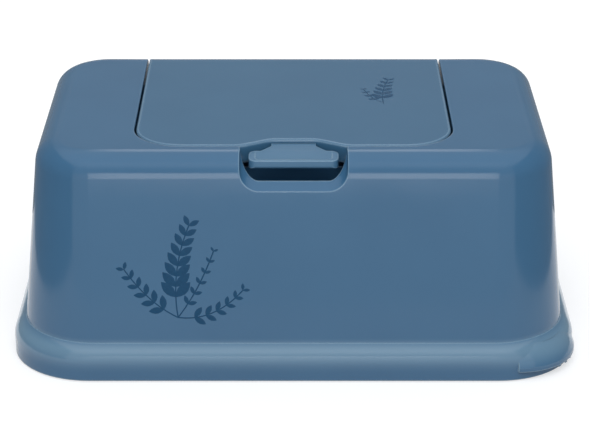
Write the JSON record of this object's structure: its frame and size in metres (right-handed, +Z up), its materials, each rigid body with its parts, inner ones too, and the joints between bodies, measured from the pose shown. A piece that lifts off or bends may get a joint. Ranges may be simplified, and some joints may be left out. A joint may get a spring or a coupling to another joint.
{
  "type": "wipes container",
  "caption": "Lift-off box for wet wipes with a flush hinged lid, a press latch in a finger recess, a sealed dispensing opening and a base tray on soft feet.",
  "frame": {"origin": "on the floor under the middle of the box", "axes": "+X to the right, +Y to the back where the lid is hinged, +Z up"},
  "size_m": [0.24, 0.155, 0.096],
  "materials": {
    "housing": "satin moulded",
    "lid": "satin moulded",
    "tray": "satin moulded",
    "button": "satin moulded, slightly lighter",
    "liner": "natural moulded",
    "seal": "soft silicone",
    "foot": "soft matte",
    "pin": "drawn",
    "spring": "drawn wire"
  },
  "bodies": {
    "base": {"base_tray": "tray", "base_seal": "seal", "foot_front_left": "foot", "foot_front_right": "foot", "foot_back_left": "foot", "foot_back_right": "foot"},
    "housing": {"housing": "housing", "hinge_pin_left": "pin", "hinge_pin_right": "pin", "latch_pin": "pin", "latch_spring": "spring", "lid_spring": "spring"},
    "lid": {"lid": "lid", "lid_liner": "liner", "lid_seal": "seal"},
    "latch": {"latch_button": "button"}
  },
  "joints": [
    {"name": "housing_lift", "type": "slide", "parent": "base", "child": "housing", "axis": [0, 0, 1], "range_m": [0, 0.12]},
    {"name": "lid_hinge", "type": "hinge", "parent": "housing", "child": "lid", "pos_m": [0, 0.06104, 0.078], "axis": [-1, 0, 0], "range_deg": [0, 95], "stiffness_Nm_per_rad": 0.003, "springref_deg": 91.67, "deforming": ["lid_spring"]},
    {"name": "latch_press", "type": "hinge", "parent": "housing", "child": "latch", "pos_m": [0, -0.0343, 0.0805], "axis": [1, 0, 0], "range_deg": [0, 8], "stiffness_Nm_per_rad": 0.25, "springref_deg": -8.59, "deforming": ["latch_spring"]}
  ]
}
